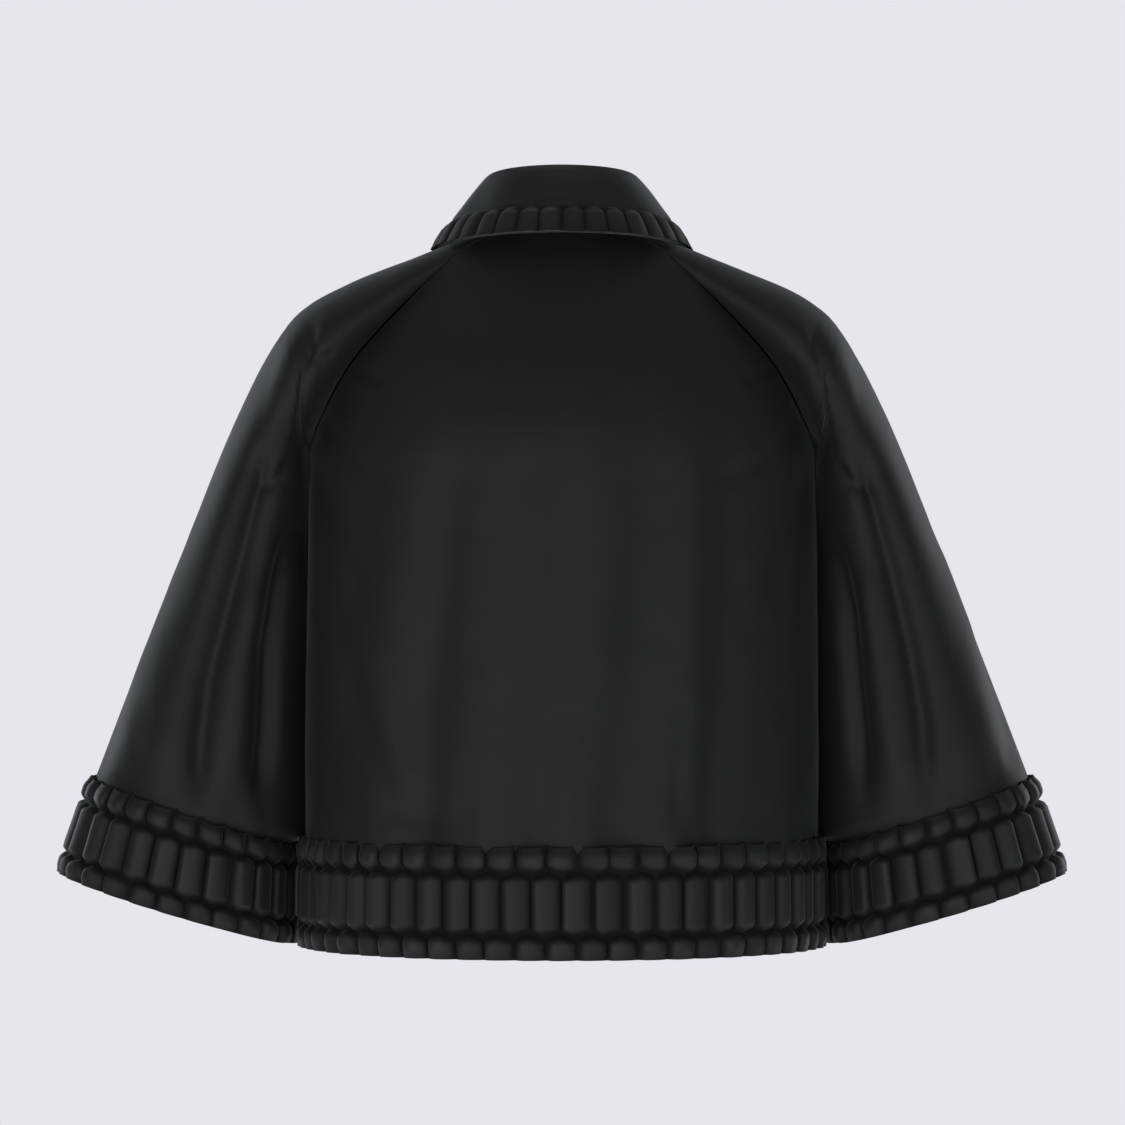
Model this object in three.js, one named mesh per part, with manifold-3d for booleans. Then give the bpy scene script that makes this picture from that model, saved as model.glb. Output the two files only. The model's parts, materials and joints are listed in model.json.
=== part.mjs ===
// Cape-jacket of thin black satin: raglan shoulders, bell sleeves, turn-down collar, pleated trim on every edge.
// Millimetres, +Z up. The back faces -Y, the open front faces +Y. The origin is the centre of the neck opening.
import * as THREE from 'three';
import { mergeVertices } from 'three/addons/utils/BufferGeometryUtils.js';
import Module from 'manifold-3d';

// ---- cloth and seams
const cloth = 1.0;
const seam_gap = 0.8;
const layer_gap = 0.6;

// ---- neck seam, an oval that is lower at the front
const neck_width = 122;
const neck_back_depth = 56;
const neck_front_depth = 62;
const neck_back_rise = 4;
const neck_front_drop = 42;
const back_seam_turn = 50;
const front_seam_turn = 125;

// ---- body
const body_width = 404;
const body_back_depth = 145;
const body_front_depth = 145;
const hem_flare = 6;
const armpit_drop = 172;
const hem_drop = 568;
const front_gap = 6;

// ---- shoulders: where the sleeve begins to swing
const shoulder_overhang = 16;
const shoulder_drop = 70;
const shoulder_depth = 84;

// ---- sleeves
const sleeve_spread = 183;
const cuff_outer_drop = 510;
const cuff_inner_drop = 568;
const cuff_depth = 78;
const cuff_forward = 10;
const sleeve_clearance = 2;
const sleeve_tuck = 38;
const contact_ease = 16;

// ---- pleated trim: two stitch lines part it into three rows
const trim_height = 87;
const cuff_trim_height = 80;
const trim_upper_row = 0.23;
const trim_lower_row = 0.22;
const trim_puff = 6.5;
const trim_pinch = 2.2;
const pleat_pitch = 21;
const pleat_depth = 1.6;

// ---- collar
const stand_height = 48;
const stand_front_height = 34;
const roll_width = 126;
const roll_back_depth = 52;
const roll_front_depth = 66;
const fall_width = 202;
const fall_back_depth = 90;
const fall_front_depth = 112;
const fall_back_drop = 2;
const fall_side_drop = 8.5;
const fall_front_drop = 62;
const collar_end_turn = 168;
const collar_trim_share = 0.22;
const collar_trim_puff = 3.2;

// ---- facings and small parts
const fold_reach = 150;
const wire_radius = 0.5;
const eye_radius = 3.2;
const loop_half_width = 22;
const loop_droop = 16;
const ribbon_width = 5;
const ribbon_thickness = 1.2;

// ---- derived sizes
const half_neck = neck_width / 2;
const half_body = body_width / 2;
const half_hem = half_body + hem_flare / 2;
const shoulder_reach = half_body + shoulder_overhang;
const cuff_outer_reach = shoulder_reach + sleeve_spread;
const half_front_gap = front_gap / 2;
const seam_inset = seam_gap / 2;
const trim_offset = layer_gap;
const side_edge = half_hem + trim_offset + trim_puff;
const cuff_inner_reach = side_edge + trim_offset + trim_puff + sleeve_clearance;
const hem_trim_top = -hem_drop + trim_height;

const wasm = await Module();
wasm.setup();

const satin = (name) => new THREE.MeshStandardMaterial({ name, color: 0x1d1f20, roughness: 0.42, metalness: 0 });
const metal = (name) => new THREE.MeshStandardMaterial({ name, color: 0x2a2b2d, roughness: 0.35, metalness: 1 });
const ribbon = (name) => new THREE.MeshStandardMaterial({ name, color: 0x17181a, roughness: 0.5, metalness: 0 });

// ---- shape tools

const radians = (degrees) => degrees * Math.PI / 180;
const mix = (a, b, t) => a + (b - a) * t;

function curve_through(points) {
  return new THREE.CatmullRomCurve3(points.map(([x, y, z]) => new THREE.Vector3(x, y, z)), false, 'centripetal');
}

// The unit normal of a surface, from neighbouring points.
function normal_of(surface, u, v) {
  const step = 1e-4;
  const u0 = Math.max(u - step, 0);
  const u1 = Math.min(u + step, 1);
  const v0 = Math.max(v - step, 0);
  const v1 = Math.min(v + step, 1);
  const along = surface(u1, v).sub(surface(u0, v));
  const down = surface(u, v1).sub(surface(u, v0));
  return along.cross(down).normalize();
}

// Gives a function that puts points on the surface, moved by an offset away from the point `inside`.
function lifter(surface, inside) {
  const away = surface(0.5, 0.5).sub(inside);
  const side = Math.sign(normal_of(surface, 0.5, 0.5).dot(away));
  return (u, v, offset) => surface(u, v).addScaledVector(normal_of(surface, u, v), side * offset);
}

function solid_from(geometry) {
  geometry.deleteAttribute('normal');
  geometry.deleteAttribute('uv');
  const merged = mergeVertices(geometry, 1e-5);
  const index = merged.index.array;
  const at = (i) => new THREE.Vector3().fromBufferAttribute(merged.attributes.position, i);
  let volume = 0;
  for (let i = 0; i < index.length; i += 3) {
    volume += at(index[i]).dot(at(index[i + 1]).cross(at(index[i + 2])));
  }
  if (volume < 0) {
    for (let i = 0; i < index.length; i += 3) {
      [index[i + 1], index[i + 2]] = [index[i + 2], index[i + 1]];
    }
  }
  return merged;
}

// A closed sheet between two offsets of one surface. Offsets may change over the sheet.
function sheet(surface, columns, rows, inner, outer, inside) {
  const lifted = lifter(surface, inside);
  const box = new THREE.BoxGeometry(1, 1, 1, columns, rows, 1);
  const position = box.attributes.position;
  for (let i = 0; i < position.count; i += 1) {
    const u = Math.round((position.getX(i) + 0.5) * columns) / columns;
    const v = Math.round((0.5 - position.getY(i)) * rows) / rows;
    const point = lifted(u, v, position.getZ(i) > 0 ? outer(u, v) : inner(u, v));
    position.setXYZ(i, point.x, point.y, point.z);
  }
  return solid_from(box);
}

// The same between two offsets of a surface that closes on itself along u.
function closed_band(surface, columns, rows, inner, outer, inside) {
  const lifted = lifter(surface, inside);
  const loop = 2 * (rows + 1);
  const torus = new THREE.TorusGeometry(1, 0.5, loop, columns);
  const position = torus.attributes.position;
  for (let i = 0; i < position.count; i += 1) {
    const column = i % (columns + 1) % columns;
    const step = Math.floor(i / (columns + 1)) % loop;
    const is_outer = step <= rows;
    const v = (is_outer ? step : loop - 1 - step) / rows;
    const u = column / columns;
    const point = lifted(u, v, is_outer ? outer(u, v) : inner(u, v));
    position.setXYZ(i, point.x, point.y, point.z);
  }
  return solid_from(torus);
}

function mirrored(geometry) {
  const copy = geometry.clone();
  copy.scale(-1, 1, 1);
  return solid_from(copy);
}

function to_manifold(geometry) {
  const vertProperties = new Float32Array(geometry.attributes.position.array);
  const triVerts = new Uint32Array(geometry.index.array);
  return new wasm.Manifold(new wasm.Mesh({ numProp: 3, vertProperties, triVerts }));
}

function from_manifold(manifold) {
  const mesh = manifold.getMesh();
  const geometry = new THREE.BufferGeometry();
  geometry.setAttribute('position', new THREE.BufferAttribute(new Float32Array(mesh.vertProperties), 3));
  geometry.setIndex(new THREE.BufferAttribute(new Uint32Array(mesh.triVerts), 1));
  return geometry;
}

function block(low, high) {
  const size = high.map((value, i) => value - low[i]);
  const box = new THREE.BoxGeometry(...size);
  box.translate(...low.map((value, i) => value + size[i] / 2));
  return to_manifold(solid_from(box));
}

const constant = (value) => () => value;
const cloth_inner = constant(-cloth);
const cloth_outer = constant(0);
const inside_body = new THREE.Vector3(0, 0, -armpit_drop);
const inside_neck = new THREE.Vector3(0, 0, 0);

// ---- the neck seam: turn 0 is the centre of the back, 180 the centre of the front

function neck_point(turn) {
  const angle = radians(turn);
  const forward = -Math.cos(angle);
  const depth = forward < 0 ? neck_back_depth : neck_front_depth;
  const fall = (1 - Math.cos(angle)) / 2;
  const height = mix(neck_back_rise, -neck_front_drop, fall * fall * fall);
  return new THREE.Vector3(-half_neck * Math.sin(angle), forward * depth, height);
}

// ---- the shoulder part of the shell, from the neck seam (v = 0) to the armpit (v = 1), left side

// The raglan seam, seen from behind.
const seam_curve = curve_through([
  [-0.23 * half_body, 0, 0.03 * armpit_drop],
  [-0.43 * half_body, 0, -0.13 * armpit_drop],
  [-0.79 * half_body, 0, -0.56 * armpit_drop],
  [-0.95 * half_body, 0, -0.86 * armpit_drop],
  [-half_body, 0, -armpit_drop],
]);

// The line along the top of the shoulder, from the neck to where the sleeve begins to swing.
const overarm_curve = curve_through([
  [-half_neck, 0, 2],
  [-0.5 * shoulder_reach, 0, -0.24 * shoulder_drop],
  [-0.78 * shoulder_reach, 0, -0.58 * shoulder_drop],
  [-0.93 * shoulder_reach, 0, -0.82 * shoulder_drop],
  [-shoulder_reach, 0, -shoulder_drop],
]);

// How far the shoulder bulges back or forward, and how far round it the seam lies.
const bulge_curve = curve_through([
  [0.5 * shoulder_depth, 90, 0],
  [0.75 * shoulder_depth, 102, 0],
  [0.97 * shoulder_depth, 134, 0],
  [shoulder_depth, 163, 0],
  [shoulder_depth, 180, 0],
]);

// The middle of the back and of the front, from the neck seam to the level of the armpit.
const back_centre = curve_through([
  [0, -neck_back_depth, neck_back_rise],
  [0, -0.6 * body_back_depth, -0.24 * armpit_drop],
  [0, -0.86 * body_back_depth, -0.57 * armpit_drop],
  [0, -0.97 * body_back_depth, -0.83 * armpit_drop],
  [0, -body_back_depth, -armpit_drop],
]);
const front_centre = curve_through([
  [0, neck_front_depth, -neck_front_drop],
  [0, 0.62 * body_front_depth, -0.42 * armpit_drop],
  [0, 0.84 * body_front_depth, -0.64 * armpit_drop],
  [0, 0.96 * body_front_depth, -0.85 * armpit_drop],
  [0, body_front_depth, -armpit_drop],
]);

// One point of the shoulder, u from the top of the shoulder (0) to the raglan seam (1).
function shoulder_arc(u, v, way) {
  const seam = seam_curve.getPoint(v);
  const over = overarm_curve.getPoint(v);
  const bulge = bulge_curve.getPoint(v);
  const end = radians(bulge.y);
  const angle = end * u;
  const cos_end = Math.cos(end);
  const centre_x = (seam.x - over.x * cos_end) / (1 - cos_end);
  const centre_z = (seam.z - over.z * cos_end) / (1 - cos_end);
  return new THREE.Vector3(
    centre_x + (over.x - centre_x) * Math.cos(angle),
    way * bulge.x * Math.sin(angle),
    centre_z + (over.z - centre_z) * Math.cos(angle),
  );
}

// Pulls the top of a panel onto the neck seam and lets the pull fade out downwards.
function drawn_to_neck(point, top_point, turn, v) {
  const fade = (1 - v) ** 3;
  return point.add(neck_point(turn).sub(top_point).multiplyScalar(fade));
}

function shoulder_back(u, v) {
  const turn = mix(90, back_seam_turn, u);
  return drawn_to_neck(shoulder_arc(u, v, -1), shoulder_arc(u, 0, -1), turn, v);
}

function shoulder_front(u, v) {
  const turn = mix(90, front_seam_turn, u);
  return drawn_to_neck(shoulder_arc(u, v, 1), shoulder_arc(u, 0, 1), turn, v);
}

// One point of a body panel, u from the centre line (0) to the raglan or side seam (1).
function body_arc(u, v, way) {
  const centre_curve = way < 0 ? back_centre : front_centre;
  const depth = way < 0 ? body_back_depth : body_front_depth;
  if (v > 1) {
    const width = mix(half_body, half_hem, v - 1);
    const angle = radians(90) * u;
    const height = mix(-armpit_drop, -hem_drop, v - 1);
    return new THREE.Vector3(-width * Math.sin(angle), way * depth * Math.cos(angle), height);
  }
  const seam = shoulder_arc(1, v, way);
  const centre = centre_curve.getPoint(v);
  const end = radians(mix(55, 90, v));
  const angle = end * u;
  const across = Math.sin(angle) / Math.sin(end);
  const round = (1 - Math.cos(angle)) / (1 - Math.cos(end));
  return new THREE.Vector3(seam.x * across, mix(centre.y, seam.y, round), mix(centre.z, seam.z, round));
}

function body_point(u, v, way) {
  const turn = way < 0 ? back_seam_turn * u : mix(180, front_seam_turn, u);
  const point = body_arc(u, v, way);
  return v > 1 ? point : drawn_to_neck(point, body_arc(u, 0, way), turn, v);
}

// ---- body panels: v runs over the whole length, from the neck seam to the hem

const neck_inset = 0.006;
const body_columns = 11;
const shoulder_rows = 12;
const lower_rows = 4;
const body_rows = shoulder_rows + lower_rows;

// Changes 0..1 over the whole length into 0..1 above the armpit and 1..2 below it.
function length_to_level(t) {
  const row = t * body_rows;
  const level = row < shoulder_rows ? row / shoulder_rows : 1 + (row - shoulder_rows) / lower_rows;
  return Math.max(level, neck_inset);
}

// How much of a row of a body panel the seam gap takes up.
function body_inset(level) {
  return seam_inset / (level > 1 ? half_body : -seam_curve.getPoint(level).x);
}

function back_surface(u, t) {
  const across = mix(-1, 1, u);
  const level = length_to_level(t);
  const point = body_point(Math.abs(across) * (1 - body_inset(level)), level, -1);
  return across < 0 ? point : new THREE.Vector3(-point.x, point.y, point.z);
}

function back_panel() {
  return sheet(back_surface, 2 * body_columns, body_rows, cloth_inner, cloth_outer, inside_body);
}

// The share of a row, from the centre line, that lies within `reach` of the middle.
function row_share(reach, level) {
  const width = level > 1 ? mix(half_body, half_hem, level - 1) : -shoulder_arc(1, level, 1).x;
  const end = level > 1 ? radians(90) : radians(mix(55, 90, level));
  return Math.asin(Math.min(reach / width * Math.sin(end), 1)) / end;
}

function front_surface(u, t) {
  const level = length_to_level(t);
  const start = row_share(half_front_gap, level);
  return body_point(mix(start, 1 - body_inset(level), u), level, 1);
}

// Each front is one sheet of cloth; it is parted where it bends when the front opens.
function front_pieces() {
  const whole = to_manifold(sheet(front_surface, body_columns, body_rows, cloth_inner, cloth_outer, inside_body));
  const reach = 2 * body_width;
  const moving_low = [-fold_reach + seam_inset, 0, -reach];
  const moving_high = [reach, reach, -armpit_drop - seam_inset];
  const cut_low = [-fold_reach - seam_inset, 0, -reach];
  const cut_high = [reach, reach, -armpit_drop + seam_inset];
  return {
    panel: from_manifold(whole.subtract(block(cut_low, cut_high))),
    flap: from_manifold(whole.intersect(block(moving_low, moving_high))),
  };
}

// ---- shoulders

const shoulder_columns = 6;
const shoulder_end_inset = 0.006;

// A shoulder patch drawn in from its seams by half the seam gap.
function shoulder_patch(half) {
  return (u, v) => {
    const level = Math.min(Math.max(v, neck_inset), 1 - shoulder_end_inset);
    const bulge = bulge_curve.getPoint(level);
    const inset = 1.6 * seam_inset / (bulge.x * radians(bulge.y));
    return half(mix(inset, 1 - inset, u), level);
  };
}

function raglan_back() {
  return sheet(shoulder_patch(shoulder_back), shoulder_columns, shoulder_rows, cloth_inner, cloth_outer, inside_body);
}

function raglan_front() {
  return sheet(shoulder_patch(shoulder_front), shoulder_columns, shoulder_rows, cloth_inner, cloth_outer, inside_body);
}

// ---- sleeves

const sleeve_fall = cuff_outer_drop - shoulder_drop;
const inner_fall = cuff_inner_drop - armpit_drop;

const sleeve_outer_edge = curve_through([
  [-shoulder_reach, 0, -shoulder_drop],
  [-shoulder_reach - 0.12 * sleeve_spread, 0, -shoulder_drop - 0.08 * sleeve_fall],
  [-shoulder_reach - 0.28 * sleeve_spread, 0, -shoulder_drop - 0.22 * sleeve_fall],
  [-shoulder_reach - 0.47 * sleeve_spread, 0, -shoulder_drop - 0.42 * sleeve_fall],
  [-shoulder_reach - 0.68 * sleeve_spread, 0, -shoulder_drop - 0.64 * sleeve_fall],
  [-shoulder_reach - 0.855 * sleeve_spread, 0, -shoulder_drop - 0.83 * sleeve_fall],
  [-cuff_outer_reach, 0, -cuff_outer_drop],
]);

// How far out the body reaches at the side, at a height and a distance forward.
function body_side(forward, height) {
  const width = mix(half_body, half_hem, (-height - armpit_drop) / (hem_drop - armpit_drop));
  return width * Math.sqrt(Math.max(0, 1 - (forward / body_front_depth) ** 2));
}

// A place close beside the body, a share of the way down from the armpit to the cuff and so far forward.
function beside_body(share, forward) {
  const height = -armpit_drop - share * inner_fall;
  return [-body_side(forward, height) - sleeve_clearance - cloth, forward, height];
}

// The same beside the hem trim, with room for the puffs of both trims.
function trim_side(forward) {
  const depth = body_front_depth + trim_offset + trim_puff;
  return cuff_inner_reach - side_edge * (1 - Math.sqrt(Math.max(0, 1 - (forward / depth) ** 2)));
}

function beside_trim(share, forward) {
  return [-trim_side(forward), forward, -armpit_drop - share * inner_fall];
}

// The inner edge lies against the body, a little forward of the side seam, and swings clear of the hem trim.
const sleeve_inner_edge = curve_through([
  [-half_body - sleeve_clearance, 0, -armpit_drop - cloth],
  beside_body(0.06, 0.66 * sleeve_tuck),
  beside_body(0.18, 0.9 * sleeve_tuck),
  beside_body(0.4, sleeve_tuck),
  beside_body(0.67, 0.85 * sleeve_tuck),
  beside_trim(0.8, 0.8 * sleeve_tuck),
  beside_trim(1, 0.7 * sleeve_tuck),
]);

// One point of the sleeve: turn 0 is the outer edge, 0.5 the inner edge; v from the shoulder to the cuff.
function sleeve_point(turn, v) {
  const outer = sleeve_outer_edge.getPoint(v);
  const inner = sleeve_inner_edge.getPoint(v);
  const angle = 2 * Math.PI * turn;
  const depth = mix(shoulder_depth, cuff_depth, v);
  const middle = outer.clone().lerp(inner, 0.5);
  const half = outer.clone().sub(inner).multiplyScalar(0.5);
  const point = middle.addScaledVector(half, Math.cos(angle));
  point.y += 0.5 * cuff_forward * v * (1 + Math.cos(angle)) - depth * Math.sin(angle);
  // Where the sleeve would enter the body, it lies against it instead.
  const beside_hem = Math.min(1, Math.max(0, (hem_trim_top - point.z) / contact_ease + 1));
  const clear_of_body = body_side(point.y, point.z) + sleeve_clearance + cloth;
  const touch = Math.min(point.x, -mix(clear_of_body, trim_side(point.y), beside_hem));
  const below_armpit = Math.min(1, Math.max(0, (-point.z - armpit_drop) / contact_ease));
  point.x = mix(point.x, touch, below_armpit);
  return point;
}

const sleeve_v_gap = 0.0016;
const sleeve_u_gap = 0.0006;
const sleeve_columns = 14;
const sleeve_rows = 14;
const rows_above_cuff = 10;
const cuff_start = 1 - cuff_trim_height / sleeve_outer_edge.getLength();
const inside_sleeve = sleeve_outer_edge.getPoint(0.5).lerp(sleeve_inner_edge.getPoint(0.5), 0.5);

// Evenly spaced rows down to the cuff trim, and again from there to the lower edge.
function down_sleeve(v) {
  const share = rows_above_cuff / sleeve_rows;
  return v < share ? mix(sleeve_v_gap, cuff_start, v / share) : mix(cuff_start, 1, (v - share) / (1 - share));
}

function sleeve_half(first_turn) {
  const patch = (u, v) => sleeve_point(first_turn + mix(sleeve_u_gap, 0.5 - sleeve_u_gap, u), down_sleeve(v));
  return sheet(patch, sleeve_columns, sleeve_rows, cloth_inner, cloth_outer, inside_sleeve);
}

// ---- pleated trim

// How far the trim stands out over its height: three puffed rows with a stitch line between each.
function row_puff(v, puff) {
  const rows = [0, trim_upper_row, 1 - trim_lower_row, 1];
  for (let i = 0; i < 3; i += 1) {
    if (v <= rows[i + 1] + 1e-9) {
      const share = (v - rows[i]) / (rows[i + 1] - rows[i]);
      return mix(trim_pinch, puff, Math.min(1, 2.2 * Math.sin(Math.PI * share)));
    }
  }
  return trim_pinch;
}

// The pleats stand side by side: every second column of the sheet lies in a fold.
function pleated(columns, puff) {
  return (u, v) => {
    const in_fold = Math.round(u * columns) % 2 === 0;
    return trim_offset + row_puff(v, puff) - (in_fold ? pleat_depth : 0);
  };
}

const trim_inner = constant(trim_offset);
const trim_rows = 6;

// Heights along the trim, closer together at the two stitch lines.
function trim_step(v) {
  const steps = [0, 0.5 * trim_upper_row, trim_upper_row, 0.5, 1 - trim_lower_row, 1 - 0.5 * trim_lower_row, 1];
  return steps[Math.round(v * trim_rows)] ?? v;
}

function stepped(v) {
  const scaled = v * trim_rows;
  const low = Math.min(Math.floor(scaled), trim_rows - 1);
  return mix(trim_step(low / trim_rows), trim_step((low + 1) / trim_rows), scaled - low);
}

// A strip of hem trim between two places on the body, `from` and `to` counted as shares of a quarter turn.
function hem_trim(from, to, way) {
  const level = (v) => 1 + (mix(hem_trim_top, -hem_drop, stepped(v)) + armpit_drop) / (armpit_drop - hem_drop);
  const surface = (u, v) => {
    const across = mix(from, to, u);
    const point = body_arc(Math.abs(across), level(v), way);
    return across < 0 ? point : new THREE.Vector3(-point.x, point.y, point.z);
  };
  const arc = (to - from) * radians(90) * (half_hem + body_back_depth) / 2;
  const columns = 2 * Math.round(arc / pleat_pitch);
  const outer = (u, v) => pleated(columns, trim_puff)(u, stepped(v));
  return sheet(surface, columns, trim_rows, trim_inner, outer, inside_body);
}

function hem_trim_back() {
  const inset = seam_inset / half_body;
  return hem_trim(-1 + inset, 1 - inset, -1);
}

const fold_share = Math.asin(fold_reach / half_hem) / radians(90);
const edge_share = Math.asin(half_front_gap / half_hem) / radians(90);
const fold_inset = seam_inset / half_body;

function hem_trim_side() {
  return hem_trim(-1 + fold_inset, -fold_share - 1.5 * fold_inset, 1);
}

function hem_trim_front() {
  return hem_trim(-fold_share + 1.5 * fold_inset, -edge_share, 1);
}

const cuff_middle = sleeve_outer_edge.getPoint(0.9).lerp(sleeve_inner_edge.getPoint(0.9), 0.5);

function cuff_trim() {
  const surface = (u, v) => sleeve_point(u, mix(cuff_start, 1, stepped(v)));
  const around = Math.PI * Math.sqrt(2 * ((cuff_outer_reach - cuff_inner_reach) ** 2 / 4 + cuff_depth ** 2));
  const columns = 2 * Math.round(around / pleat_pitch);
  const outer = (u, v) => pleated(columns, trim_puff)(u, stepped(v));
  const inside = cuff_middle;
  return closed_band(surface, columns, trim_rows, trim_inner, outer, inside);
}

// ---- collar

const collar_columns = 30;

const fall_rows = 6;
const under_collar_start = 0.16;
const collar_trim_offset = 1;
const facing_outer = constant(-cloth - layer_gap);
const facing_inner = constant(-2 * cloth - layer_gap);

// The fold along the top of the collar.
function roll_point(turn) {
  const angle = radians(turn);
  const forward = -Math.cos(angle);
  const depth = forward < 0 ? roll_back_depth : roll_front_depth;
  const fall = (1 - Math.cos(angle)) / 2;
  const base = neck_point(turn).z;
  const height = base + mix(stand_height, stand_front_height, fall);
  return new THREE.Vector3(-roll_width / 2 * Math.sin(angle), forward * depth, height);
}

// The outer edge of the collar.
function edge_point(turn) {
  const angle = radians(turn);
  const forward = -Math.cos(angle);
  const depth = forward < 0 ? fall_back_depth : fall_front_depth;
  const drop = forward < 0
    ? mix(fall_side_drop, fall_back_drop, -forward)
    : mix(fall_side_drop, fall_front_drop, forward * forward);
  return new THREE.Vector3(-fall_width / 2 * Math.sin(angle), forward * depth, -drop);
}

function collar_turn(u) {
  return mix(-collar_end_turn, collar_end_turn, u);
}

function stand_surface(u, v) {
  const turn = collar_turn(u);
  return roll_point(turn).add(new THREE.Vector3(0, 0, -1.8 * cloth)).lerp(neck_point(turn), v);
}

// The falling part: it leaves the roll line level and then drops to the edge.
function fall_surface(u, v) {
  const turn = collar_turn(u);
  const top = roll_point(turn);
  const end = edge_point(turn);
  const knee = new THREE.Vector3(mix(top.x, end.x, 0.22), mix(top.y, end.y, 0.22), mix(top.z, end.z, 0.12));
  return new THREE.QuadraticBezierCurve3(top, knee, end).getPoint(v);
}

function collar_stand() {
  return sheet(stand_surface, collar_columns, 2, cloth_inner, cloth_outer, inside_neck);
}

function upper_collar() {
  return sheet(fall_surface, collar_columns, fall_rows, cloth_inner, cloth_outer, inside_neck);
}

function under_collar() {
  const patch = (u, v) => fall_surface(u, mix(under_collar_start, 1, v));
  return sheet(patch, collar_columns, fall_rows - 1, facing_inner, facing_outer, inside_neck);
}

function collar_trim() {
  const patch = (u, v) => fall_surface(u, mix(1 - collar_trim_share, 1, v));
  const length = Math.PI * Math.sqrt((fall_width ** 2 / 4 + fall_back_depth ** 2) / 2) * 2 * collar_end_turn / 180;
  const columns = 2 * Math.round(length / pleat_pitch);
  const outer = (u, v) => {
    const in_fold = Math.round(u * columns) % 2 === 0;
    const puff = mix(0.45, 1, Math.sin(Math.PI * mix(0.1, 0.75, v)));
    return collar_trim_offset + collar_trim_puff * puff - (in_fold ? pleat_depth * 0.6 : 0);
  };
  return sheet(patch, columns, 3, constant(collar_trim_offset), outer, inside_neck);
}

// ---- facings, on the inside of the cloth and on the same rows and columns as the panels they line

const back_facing_columns = body_columns - 1;
const back_facing_rows = 4;
const facing_top_row = 0.5;
const front_facing_columns = 2;

function back_neck_facing() {
  const reach = back_facing_columns / body_columns;
  const across = (u) => mix(0.5 - reach / 2, 0.5 + reach / 2, u);
  const patch = (u, v) => back_surface(across(u), mix(facing_top_row, back_facing_rows, v) / body_rows);
  return sheet(patch, 2 * back_facing_columns, back_facing_rows, facing_inner, facing_outer, inside_body);
}

function front_strip(from_row, to_row) {
  const patch = (u, v) => front_surface(u * front_facing_columns / body_columns, mix(from_row, to_row, v) / body_rows);
  const rows = Math.round(to_row - from_row);
  return sheet(patch, front_facing_columns, rows, facing_inner, facing_outer, inside_body);
}

function upper_facing() {
  return front_strip(0, shoulder_rows - 0.03);
}

function front_facing() {
  return front_strip(shoulder_rows + 0.01, body_rows);
}

// ---- hook, eye and hanger loop

function wire(points, radius, steps) {
  const outline = new THREE.Shape().absarc(0, 0, radius, 0, 2 * Math.PI, false);
  const path = curve_through(points);
  const shape = new THREE.ExtrudeGeometry(outline, { steps, bevelEnabled: false, extrudePath: path, curveSegments: 4 });
  return solid_from(shape);
}

function clasp_place() {
  const level = 0.1;
  const on_cloth = body_point(row_share(half_front_gap, level), level, 1);
  return new THREE.Vector3(0, on_cloth.y - 2 * cloth - layer_gap - 6 * wire_radius, on_cloth.z - 2);
}

function neck_hook() {
  const { y, z } = clasp_place();
  const leg = 2.8 * wire_radius;
  const points = [
    [-12, y + leg + 2 * wire_radius, z],
    [-6, y + leg + 2 * wire_radius, z],
    [-3, y + leg, z],
    [0.6, y + leg, z],
    [2, y, z],
    [0.6, y - leg, z],
    [-3.4, y - leg, z],
  ];
  return wire(points, wire_radius, 16);
}

function neck_eye() {
  const { y, z } = clasp_place();
  const ring = new THREE.TorusGeometry(eye_radius, wire_radius, 8, 20);
  ring.rotateX(radians(90));
  ring.translate(eye_radius - 1.7, y, z);
  return solid_from(ring);
}

function hanger_loop() {
  const outline = new THREE.Shape();
  outline.moveTo(-ribbon_width / 2, -ribbon_thickness / 2);
  outline.lineTo(ribbon_width / 2, -ribbon_thickness / 2);
  outline.lineTo(ribbon_width / 2, ribbon_thickness / 2);
  outline.lineTo(-ribbon_width / 2, ribbon_thickness / 2);
  const turn = Math.asin(loop_half_width / half_neck) * 180 / Math.PI;
  const end = neck_point(turn);
  const y = end.y + cloth + 2 * layer_gap + ribbon_width / 2;
  const z = end.z + ribbon_width;
  const points = [
    [-loop_half_width, y, z],
    [-0.7 * loop_half_width, y, z - 0.7 * loop_droop],
    [0, y, z - loop_droop],
    [0.7 * loop_half_width, y, z - 0.7 * loop_droop],
    [loop_half_width, y, z],
  ];
  const path = curve_through(points);
  return solid_from(new THREE.ExtrudeGeometry(outline, { steps: 16, bevelEnabled: false, extrudePath: path }));
}

// ---- assembly

function named(name, geometry, material) {
  const mesh = new THREE.Mesh(geometry, material(name));
  mesh.name = name;
  return mesh;
}

const group = new THREE.Group();
group.name = 'cape_jacket';

function add(name, geometry, material = satin) {
  group.add(named(name, geometry, material));
}

function add_pair(name, geometry, material = satin) {
  add(`${name}_left`, geometry, material);
  add(`${name}_right`, mirrored(geometry), material);
}

add('back_panel', back_panel());
const front = front_pieces();
add_pair('front_panel', front.panel);
add_pair('front_flap', front.flap);
add_pair('raglan_back', raglan_back());
add_pair('raglan_front', raglan_front());
add_pair('sleeve_back', sleeve_half(0));
add_pair('sleeve_front', sleeve_half(0.5));
add_pair('cuff_trim', cuff_trim());
add('hem_trim_back', hem_trim_back());
add_pair('hem_trim_side', hem_trim_side());
add_pair('hem_trim_front', hem_trim_front());
add('collar_stand', collar_stand());
add('upper_collar', upper_collar());
add('under_collar', under_collar());
add('collar_trim', collar_trim());
add('back_neck_facing', back_neck_facing());
add_pair('upper_facing', upper_facing());
add_pair('front_facing', front_facing());
add('neck_hook', neck_hook(), metal);
add('neck_eye', neck_eye(), metal);
add('hanger_loop', hanger_loop(), ribbon);

export default group;
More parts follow.
